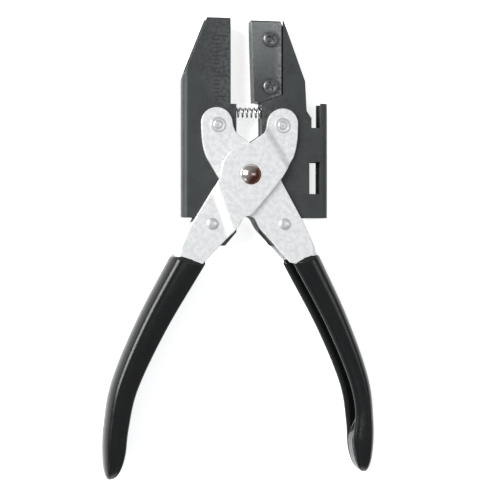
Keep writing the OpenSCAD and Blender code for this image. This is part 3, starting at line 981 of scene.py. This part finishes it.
    def flange_ring(self, w: np.ndarray, h: np.ndarray, groove: np.ndarray, floor: np.ndarray,
                    edge: np.ndarray) -> tuple[np.ndarray, np.ndarray]:
        """Half of the grip's ring: up the groove, round the lip and over the domed face.

        Outwards of its crown the face is a superellipse of exponent dome_power: the
        height and the place across, each as a share of its greatest and to that power,
        add up to one. Inwards it sags to the lip, a half ellipse between the groove's
        level and the face's edge.

        Args:
            w: half width of the grip at each row.
            h: half depth at each row.
            groove: half depth of the groove at each row.
            floor: how far the groove's floor lies from the middle line, outwards.
            edge: how far the lip lies from the middle line, inwards.

        Returns:
            Offsets across the arm and heights, both (rows, points).
        """
        power = 2 / self.dome_power
        least = np.minimum(0.45 * groove, 0.2 * (floor + edge) + 1e-7)
        inside = np.minimum(self.groove_round, least)
        quarter = np.linspace(0, np.pi / 2, 8)[None]
        col = np.ones((1, 1))
        crown = self.crown_share * w
        sag = self.sag_share * h
        lip_half = (h - sag - groove) / 2
        lip_deep = np.minimum(1.25 * lip_half, 0.5 * w)
        q = np.linspace(-np.pi / 2, np.pi / 2, 15)[None]
        share = np.linspace(0, 1, 12)[None, 1:-1]
        rise = np.linspace(0, np.pi / 2, 30)[None, 1:]
        c, s = np.cos(rise) ** power, np.sin(rise) ** power
        stretch = [
            (floor[:, None] * np.ones((1, 2)),
             (groove - inside)[:, None] * np.array([[0.33, 0.66]])),
            ((floor - inside)[:, None] + inside[:, None] * np.cos(quarter),
             (groove - inside)[:, None] + inside[:, None] * np.sin(quarter)),
            ((floor - inside)[:, None] * (1 - share) + (lip_deep - edge)[:, None] * share,
             groove[:, None] * np.ones_like(share)),
            ((lip_deep - edge)[:, None] - lip_deep[:, None] * np.cos(q),
             (groove + lip_half)[:, None] + lip_half[:, None] * np.sin(q)),
            ((lip_deep - edge)[:, None] * (1 - share) + crown[:, None] * share,
             h[:, None] - sag[:, None] * (1 - share) ** 1.6),
            (crown[:, None] + (w - crown)[:, None] * s[:, :-1], h[:, None] * c[:, :-1]),
        ]
        return (np.hstack([part[0] * col for part in stretch]),
                np.hstack([part[1] * col for part in stretch]))

    def grip_section(self, w: np.ndarray, h: np.ndarray, groove: np.ndarray,
                     floor: np.ndarray, step: np.ndarray) -> tuple[np.ndarray, np.ndarray]:
        """The whole C-shaped ring: the first flange, and the narrower one turned over."""
        first_u, first_v = self.flange_ring(w, h, groove, floor, w)
        other_u, other_v = self.flange_ring(w, h, groove, floor, w - step)
        middle = np.zeros((len(w), 1))
        return (np.hstack([first_u, w[:, None], other_u[:, ::-1], floor[:, None]]),
                np.hstack([first_v, middle, -other_v[:, ::-1], middle]))

    def turned_piece(self, node: str, name: str, slot: Slot, rings: list[np.ndarray],
                     angle: float = 35.0) -> bpy.types.Object:
        """Turned pieces that share the axis of a CAD node.

        Args:
            node: the CAD node that they replace, which gives the axis.
            name: name of the new piece.
            slot: the record's material slot.
            rings: profiles of radius and height, the height from the tool's middle.
            angle: creases sharper than this stay sharp, in degrees.

        Returns:
            The piece, dressed and riding on the handle.
        """
        axis = np.append(box_middle(node)[:2], self.builder.tool.centre[2])
        parts = [revolve(profile, 72) for profile in rings]
        points, faces = merged(parts)
        piece = make_object(name, points + axis, faces)
        shade(piece, angle)
        mark_wear(piece, 24, 60)
        return self.builder.dress(piece, self.body, slot, (node,))

    def pins(self) -> None:
        """The turned pins with their riveted ends, the washers and the sleeve.

        The lower half of every profile mirrors its upper half. The front pin is stepped
        down to its tenons inside the cheeks, and the rear pin is one thickness throughout.
        """
        def top_of(kind: str) -> float:
            """Height of a node above the tool's middle."""
            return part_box(f"{kind}_{self.letter}")[1].z - self.builder.tool.centre[2]

        def reach_of(kind: str) -> float:
            """Greatest radius of a node."""
            low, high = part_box(f"{kind}_{self.letter}")
            return (high.x - low.x) / 2

        body, tenon = reach_of("front_pin"), 2.0 * MM
        inside = top_of("slide_sleeve")
        seat, crown = top_of("front_washers"), top_of("front_pin")
        outline = riveted_end(tenon, tenon + 0.3 * MM, seat, crown, dimple=0.35 * MM)
        shank = np.array([[tenon, inside], [body - 0.2 * MM, inside], [body, inside - 0.2 * MM]])
        half = np.vstack([outline, shank])
        self.turned_piece(f"front_pin_{self.letter}", f"pivot_{self.letter}_turned",
                          Slot.ZINC_FASTENER, [mirrored_profile(half)])
        wide, e = reach_of("front_washers"), 0.2 * MM
        under = self.builder.tool.low_out
        ring = np.array([[tenon, under], [wide, under], [wide, seat - e],
                         [wide - 0.3 * e, seat - 0.3 * e], [wide - e, seat], [tenon + e, seat],
                         [tenon, seat - e], [tenon, under]])
        self.turned_piece(f"front_washers_{self.letter}", f"washers_{self.letter}_turned",
                          Slot.ZINC_FASTENER, [ring, ring * np.array([1.0, -1.0])])
        head = reach_of("rear_pin")
        outline = riveted_end(tenon, head, self.builder.tool.low_out, top_of("rear_pin"), 0.0)
        half = np.vstack([outline, [[tenon, 0.0]]])
        self.turned_piece(f"rear_pin_{self.letter}", f"slide_pin_{self.letter}_turned",
                          Slot.ZINC_FASTENER, [mirrored_profile(half)])
        out, bore, e = reach_of("slide_sleeve"), tenon, 0.15 * MM
        tube = np.array([[bore, -inside], [out - e, -inside], [out, e - inside], [out, inside - e],
                         [out - e, inside], [bore, inside], [bore, -inside]])
        self.turned_piece(f"slide_sleeve_{self.letter}", f"sleeve_{self.letter}_turned",
                          Slot.TOOL_STEEL, [tube])

    def build(self) -> None:
        """Builds the pressing, the grip and the pins."""
        self.pressing()
        self.grip()
        self.pins()


def riveted_end(shank: float, head: float, seat: float, crown: float,
                dimple: float) -> np.ndarray:
    """Upper profile of a pin, from its axis out and down to its shank.

    The head is a quarter ellipse from its rim to its crown, less a dimple that falls as
    the square of one less the radius's share.

    Args:
        shank: radius of the shank.
        head: radius of the head.
        seat: height of the underside of the head.
        crown: height of the top of the head.
        dimple: depth of the hollow in the middle.

    Returns:
        (n, 2) radius and height.
    """
    q = np.linspace(0, np.pi / 2, 16)
    r = head * np.sin(q)
    rim = 0.12 * (crown - seat)
    z = seat + rim + (crown - seat - rim) * np.cos(q)
    z = z - dimple * np.maximum(1 - r / (0.7 * head), 0) ** 2
    return np.vstack([np.stack([r, z], 1), [[head, seat], [shank, seat]]])


def mirrored_profile(half: np.ndarray) -> np.ndarray:
    """A profile and its mirror image below the tool's middle, as one line."""
    other = half[::-1] * np.array([1.0, -1.0])
    return np.vstack([half, other])


def relaxed(points: np.ndarray, passes: int, tail_rows: int) -> np.ndarray:
    """The line with its corners eased by averaging, ends and last rows kept."""
    eased = points.copy()
    free = len(points) - tail_rows
    for _ in range(passes):
        before, here, after = eased[:free - 2], eased[1:free - 1], eased[2:free]
        eased[1:free - 1] = 0.25 * before + 0.5 * here + 0.25 * after
    return eased


# ---------------------------------------------------------------------------
# Jaws
# ---------------------------------------------------------------------------


def cross_recess(x: np.ndarray, y: np.ndarray, reach: float, half: float) -> np.ndarray:
    """How deep a cross recess is at each point, 0 outside and 1 on its floor."""
    arms = []
    for a, b in ((x, y), (y, x)):
        inside = smooth_step(half - np.abs(a), -0.12 * MM, 0.16 * MM)
        arms.append(inside * smooth_step(reach - np.abs(b), -0.12 * MM, 0.5 * MM))
    return np.maximum(arms[0], arms[1])


@dataclass
class PanScrew:
    """A pan-head screw with a cross recess, its axis along Z."""

    head: float = 4.0 * MM
    height: float = 2.2 * MM
    shank: float = 2.0 * MM
    length: float = 9.0 * MM
    recess: float = 2.35 * MM
    recess_half: float = 0.5 * MM
    depth: float = 1.25 * MM
    turn: float = 0.6

    def mesh(self, at: np.ndarray) -> Skin:
        """Points and faces of the screw with the underside of its head at a place.

        The head's top is a height field over rings of growing radius: a flat dome whose
        height falls with the fourth power of the radius, less the recess's depth.

        Args:
            at: the middle of the underside of the head.

        Returns:
            (n, 3) points and the faces.
        """
        rings, turns = 46, 120
        r = np.concatenate([np.linspace(0.02 * MM, 0.88 * self.head, rings),
                            self.head * (0.88 + 0.12 * np.sin(np.linspace(0.2, np.pi / 2, 7)))])
        q = np.linspace(0, 2 * np.pi, turns, endpoint=False)
        radius, angle = np.meshgrid(r, q, indexing="ij")
        x, y = radius * np.cos(angle), radius * np.sin(angle)
        share = np.clip(radius / self.head, 0, 1)
        z = self.height * (0.42 + 0.58 * np.sqrt(np.maximum(1 - share ** 3.2, 0)))
        c, s = math.cos(self.turn), math.sin(self.turn)
        z = z - self.depth * cross_recess(
            c * x + s * y, c * y - s * x, self.recess, self.recess_half)
        ring = np.dstack([x, y, z])
        skirt = np.array([[self.head, 0.25 * MM], [self.head - 0.25 * MM, 0.0],
                          [self.shank, 0.0], [self.shank, -self.length]])
        lower = np.stack([
            np.outer(skirt[:, 0], np.cos(q)), np.outer(skirt[:, 0], np.sin(q)),
            np.repeat(skirt[:, 1:], turns, 1)], 2)
        points = np.concatenate([ring, lower])
        return points.reshape(-1, 3) + at, capped_tube(len(points), turns)


def merged(parts: list[Skin]) -> Skin:
    """Several meshes as one list of points and one list of faces."""
    points, faces, start = [], [], 0
    for part_points, part_faces in parts:
        points.append(part_points)
        faces.extend(np.asarray(face) + start for face in part_faces)
        start += len(part_points)
    return np.vstack(points), faces


@dataclass
class LeftJaw:
    """The left jaw: folded cover, bar, brass anvil, its screws and a depth scale."""

    builder: Builder
    tick_rise: float = 0.05 * MM
    tick_half: float = 0.22 * MM
    tick_pitch: float = 2.0 * MM
    tick_count: int = 16
    tick_short: float = 1.9 * MM
    tick_long: float = 3.4 * MM
    long_every: int = 5
    tick_start: tuple[float, float] = (-18.4 * MM, 38.5 * MM)

    def scale_ticks(self) -> bpy.types.Object:
        """A generic depth scale of short inked bars on the front of the cover.

        Each bar is a low pad with a domed top: its height is the rise times one less the
        eighth power of the place along it and the fourth power of the place across it.
        """
        tool = self.builder.tool
        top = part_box("left_cover")[1].z - tool.centre[2]
        n, m = 13, 7
        a, b = np.meshgrid(np.linspace(-1, 1, n), np.linspace(-1, 1, m), indexing="ij")
        bulge = np.maximum((1 - a ** 8) * (1 - b ** 4), 0)
        faces = list(quads(n, m, False)) + [face[::-1] + n * m for face in quads(n, m, False)]
        rim = np.concatenate([
            np.arange(n) * m, (n - 1) * m + np.arange(1, m),
            np.arange(n - 2, -1, -1) * m + m - 1, np.arange(m - 2, 0, -1)])
        other = np.roll(rim, -1)
        faces += list(np.stack([rim, rim + n * m, other + n * m, other], 1))
        parts = []
        for k in range(self.tick_count):
            half_long = self.tick_long if k % self.long_every == 0 else self.tick_short
            x, y = self.tick_start[0] + half_long, self.tick_start[1] + k * self.tick_pitch
            pad = np.dstack([
                x + a * half_long, y + b * self.tick_half, top + self.tick_rise * bulge])
            base = pad.reshape(-1, 3).copy()
            base[:, 2] = top - 0.2 * MM
            parts.append((tool.place(np.vstack([pad.reshape(-1, 3), base])), faces))
        piece = make_object("depth_scale", *merged(parts))
        shade(piece, 50)
        self.builder.dress(piece, Body.LEFT_JAW, Slot.PHOSPHATE)
        piece.data.materials[0] = MARK_INK.build(self.builder.groups)
        return piece

    def build(self) -> None:
        """Builds the rounded copies and the depth scale."""
        b = self.builder
        b.soften("left_cover", Body.LEFT_JAW, Slot.PHOSPHATE, 0.28 * MM)
        b.soften("left_bar", Body.LEFT_JAW, Slot.TOOL_STEEL, 0.25 * MM)
        b.soften("anvil_strip", Body.LEFT_JAW, Slot.ANVIL_BRASS, 0.25 * MM)
        b.soften("anvil_screws", Body.LEFT_JAW, Slot.ZINC_FASTENER, 0.08 * MM)
        self.scale_ticks()


@dataclass
class RightJaw:
    """The right jaw: folded cover, bar, blade plate and its screws."""

    builder: Builder

    def screws(self) -> bpy.types.Object:
        """Two pan-head screws over the blade plate."""
        low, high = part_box("blade_screws")
        plate_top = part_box("blade_plate")[1].z
        head = (high.x - low.x) / 2
        x = (low.x + high.x) / 2
        parts = []
        for y, turn in ((low.y + head, 0.35), (high.y - head, 1.0)):
            screw = PanScrew(head=head, height=high.z - plate_top,
                             length=plate_top - low.z, turn=turn)
            parts.append(screw.mesh(np.array([x, y, plate_top])))
        piece = make_object("blade_pan_screws", *merged(parts))
        shade(piece, 40)
        mark_wear(piece, 24, 60)
        return self.builder.dress(piece, Body.RIGHT_JAW, Slot.DARK_SCREW, ("blade_screws",))

    def build(self) -> None:
        """Builds the rounded copies and the screws."""
        b = self.builder
        b.soften("right_cover", Body.RIGHT_JAW, Slot.PHOSPHATE, 0.28 * MM)
        b.soften("right_bar", Body.RIGHT_JAW, Slot.TOOL_STEEL, 0.25 * MM)
        b.soften("blade_plate", Body.RIGHT_JAW, Slot.BLADE_STEEL, 0.3 * MM)
        self.screws()


# ---------------------------------------------------------------------------
# Centre: spring, rivet and spacer
# ---------------------------------------------------------------------------


@dataclass
class CoilSpring:
    """The return spring, wound about X."""

    builder: Builder
    turns: float = 11.0
    dead_turns: float = 1.1
    wire: float = 0.5 * MM
    play_round: float = 0.01 * MM
    play_along: float = 0.04 * MM
    dead_pitch: float = 1.04
    start_turn: float = 0.7
    closed_share: float = 0.567
    rings: int = 520
    wire_sides: int = 16

    def build(self) -> bpy.types.Object:
        """Sweeps the wire along a helix with close-wound ends.

        The axis position rises slowly with one wire per turn over the dead turns at both
        ends and evenly between them. The wire's rings stand square to the helix.

        Returns:
            The spring, dressed and riding on the left jaw.
        """
        low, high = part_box("return_spring")
        middle = box_middle("return_spring")
        radius = (high.z - low.z) / 2 - self.wire - self.play_round
        length = high.x - low.x - 2 * self.wire - self.play_along
        q = np.linspace(0, self.turns, self.rings)
        pitch_dead = 2 * self.wire * self.dead_pitch
        opening, closing, blend = self.dead_turns, self.turns - self.dead_turns, 0.3
        live = smooth_step(q, opening - blend, opening + blend)
        live *= 1 - smooth_step(q, closing - blend, closing + blend)
        step, live = np.diff(q), live[1:]
        dead_run = np.sum(pitch_dead * step * (1 - live))
        live_pitch = (length - dead_run) / np.sum(step * live)
        run = np.cumsum(step * (pitch_dead * (1 - live) + live_pitch * live))
        run = np.concatenate([[0], run])
        turn = 2 * np.pi * q + self.start_turn
        line = np.stack([run - length / 2, radius * np.cos(turn), radius * np.sin(turn)], 1)
        along = np.gradient(line, axis=0)
        along /= np.linalg.norm(along, axis=1, keepdims=True)
        out = np.stack([0 * turn, np.cos(turn), np.sin(turn)], 1)
        over = np.cross(along, out)
        w = np.linspace(0, 2 * np.pi, self.wire_sides, endpoint=False)[None, :, None]
        ring = line[:, None] + self.wire * (np.cos(w) * out[:, None] + np.sin(w) * over[:, None])
        piece = make_object(
            "coil_spring", ring.reshape(-1, 3) + middle, capped_tube(*ring.shape[:2]))
        shade(piece, 50)
        self.builder.dress(piece, Body.LEFT_JAW, Slot.SPRING_STEEL, ("return_spring",))
        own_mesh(piece)
        return piece


@dataclass
class CentreJoint:
    """The centre rivet with its domed head, and the spacer between the handles."""

    builder: Builder
    head_height: float = 2.4 * MM
    edge: float = 0.35 * MM

    def rivet(self) -> bpy.types.Object:
        """Turns the rivet's profile: a flat back, a shank and a low domed head."""
        low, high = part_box("centre_rivet")
        tool = self.builder.tool
        head = (high.x - low.x) / 2
        top = high.z - tool.centre[2]
        seat = top - self.head_height
        shank, button = 3.0 * MM, 4.0 * MM
        ball = (head ** 2 + self.head_height ** 2) / (2 * self.head_height)
        widest = math.asin(min(head / ball, 1.0))
        dome = np.linspace(widest, 0.0, 40)[1:-1]
        e = self.edge
        back = low.z - tool.centre[2]
        profile = [[0.0, back], [button - 0.12 * MM, back], [button, back + 0.06 * MM],
                   [button, back + 0.15 * MM], [shank, back + 0.15 * MM],
                   [shank, seat], [head - 0.5 * e, seat], [head - 0.08 * e, seat + 0.3 * e]]
        profile += [[ball * math.sin(q) - (0.04 * MM if k < 2 else 0.0),
                     max(seat + 0.5 * e, top - ball + ball * math.cos(q))]
                    for k, q in enumerate(dome)]
        profile.append([0.0, top])
        points, faces = revolve(np.array(profile), 96)
        piece = make_object("rivet_turned", points + tool.centre, faces)
        shade(piece, 35)
        mark_wear(piece, 30, 60)
        return self.builder.dress(
            piece, Body.FRONT_HANDLE, Slot.POLISHED_RIVET, ("centre_rivet",))

    def build(self) -> None:
        """Builds the rivet and the spacer."""
        self.rivet()
        self.builder.soften("centre_spacer", Body.FRONT_HANDLE, Slot.TOOL_STEEL, 0.15 * MM)


# ---------------------------------------------------------------------------
# Studio
# ---------------------------------------------------------------------------


@dataclass
class Studio:
    """Floor, lights and camera."""

    tool: ToolFrame
    target: tuple[float, float] = (1.3 * MM, -37.35 * MM)
    lean: float = 11.0
    distance: float = 0.65
    view_width: float = 0.25
    sensor: float = 36.0
    lit_point: tuple[float, float, float] = (0.0, 0.0, 0.01)
    floor_flat: float = 1.0
    floor_reach: float = 3.0
    floor_rise: float = 0.05
    floor_drop: float = 0.0001
    floor_glow: float = 0.64
    sky_strength: float = 0.42

    def camera(self) -> None:
        """Looks down on the tool, leaning a little to its left."""
        data = bpy.data.cameras.new("Camera")
        data.sensor_width = self.sensor
        data.lens = self.sensor * self.distance / self.view_width
        data.clip_start, data.clip_end = 0.05, 20.0
        eye = bpy.data.objects.new("Camera", data)
        bpy.context.scene.collection.objects.link(eye)
        q = math.radians(self.lean)
        aim = Vector(self.tool.centre) + Vector((*self.target, 0.0))
        away = Vector((-math.sin(q), 0.0, math.cos(q)))
        right = Vector((0.0, 1.0, 0.0)).cross(away).normalized()
        up = away.cross(right)
        turn = Matrix((right, up, away)).transposed()
        eye.matrix_world = Matrix.Translation(aim + away * self.distance) @ turn.to_4x4()
        bpy.context.scene.camera = eye

    def area(self, name: str, place: tuple[float, float, float], size: tuple[float, float],
             power: float) -> None:
        """One soft area light that faces the middle of the tool."""
        data = bpy.data.lights.new(name, "AREA")
        data.shape = "RECTANGLE"
        data.size, data.size_y = size
        data.energy = power
        lamp = bpy.data.objects.new(name, data)
        bpy.context.scene.collection.objects.link(lamp)
        lamp.location = place
        to_tool = Vector(self.lit_point) - Vector(place)
        lamp.rotation_euler = to_tool.to_track_quat("-Z", "Y").to_euler()

    def floor(self) -> None:
        """A pale floor under the tool, swept up into a low wall far away on every side.

        Its height is zero near the tool and grows with the cube of the distance beyond
        its flat part.
        """
        turns, rings = 96, 40
        r = np.concatenate([[0.0], np.geomspace(0.05, self.floor_reach, rings)])
        q = np.linspace(0, 2 * np.pi, turns, endpoint=False)
        radius, angle = np.meshgrid(r, q, indexing="ij")
        beyond = np.maximum(radius - self.floor_flat, 0)
        height = self.floor_rise * beyond ** 3 - self.floor_drop
        points = np.dstack([radius * np.cos(angle), radius * np.sin(angle), height])
        obj = make_object("floor", points.reshape(-1, 3), list(quads(rings + 1, turns, True)))
        if obj.data.polygons[0].normal.z < 0:
            obj.data.flip_normals()
        obj.data.shade_smooth()
        material = bpy.data.materials.new("studio_floor")
        material.use_nodes = True
        graph = Graph(material.node_tree)
        shader = material.node_tree.nodes["Principled BSDF"]
        place = graph.add("ShaderNodeTexCoord").outputs["Object"]
        tone = graph.mix(graph.noise(place, 30.0), (0.90, 0.905, 0.91), (0.93, 0.93, 0.93))
        graph.feed(shader.inputs["Base Color"], tone)
        shader.inputs["Roughness"].default_value = 0.9
        shader.inputs["Specular IOR Level"].default_value = 0.1
        shader.inputs["Emission Color"].default_value = (1.0, 1.0, 1.0, 1.0)
        shader.inputs["Emission Strength"].default_value = self.floor_glow
        obj.data.materials.append(material)

    def build(self) -> None:
        """Sets the floor, the lights, the sky and the camera."""
        self.camera()
        self.floor()
        self.area("key_light", (-0.86, 0.34, 0.82), (0.6, 0.7), 17.5)
        self.area("right_light", (0.55, 0.05, 1.05), (0.28, 0.7), 1.5)
        self.area("low_light", (-0.9, -0.9, 0.6), (0.5, 0.4), 1.0)
        world = bpy.data.worlds.new("studio")
        bpy.context.scene.world = world
        world.use_nodes = True
        sky = world.node_tree.nodes["Background"]
        sky.inputs["Color"].default_value = (0.95, 0.97, 1.0, 1.0)
        sky.inputs["Strength"].default_value = self.sky_strength
        bpy.context.scene.view_settings.view_transform = "Standard"


# ---------------------------------------------------------------------------
# Main
# ---------------------------------------------------------------------------


def main() -> None:
    """Builds every sub-assembly and the studio in order, and logs how many pieces were built."""
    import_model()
    tool = ToolFrame.measured()
    groups = {"grain": grain_group(), "wear": wear_group(), "brush": brush_group()}
    materials = {slot: finish.build(groups) for slot, finish in FINISHES.items()}
    builder = Builder(tool, materials, groups)
    LeftJaw(builder).build()
    RightJaw(builder).build()
    CoilSpring(builder).build()
    Handle(builder, "a", Body.BACK_HANDLE, turned=True, arm_set=-ARM_SET).build()
    Handle(builder, "b", Body.FRONT_HANDLE, turned=False, arm_set=ARM_SET).build()
    CentreJoint(builder).build()
    LOG.info("built %d pieces", len(builder.pieces))
    Studio(tool).build()


if __name__ == "__main__":
    logging.basicConfig(level=logging.INFO, format="%(levelname)s %(message)s")
    main()
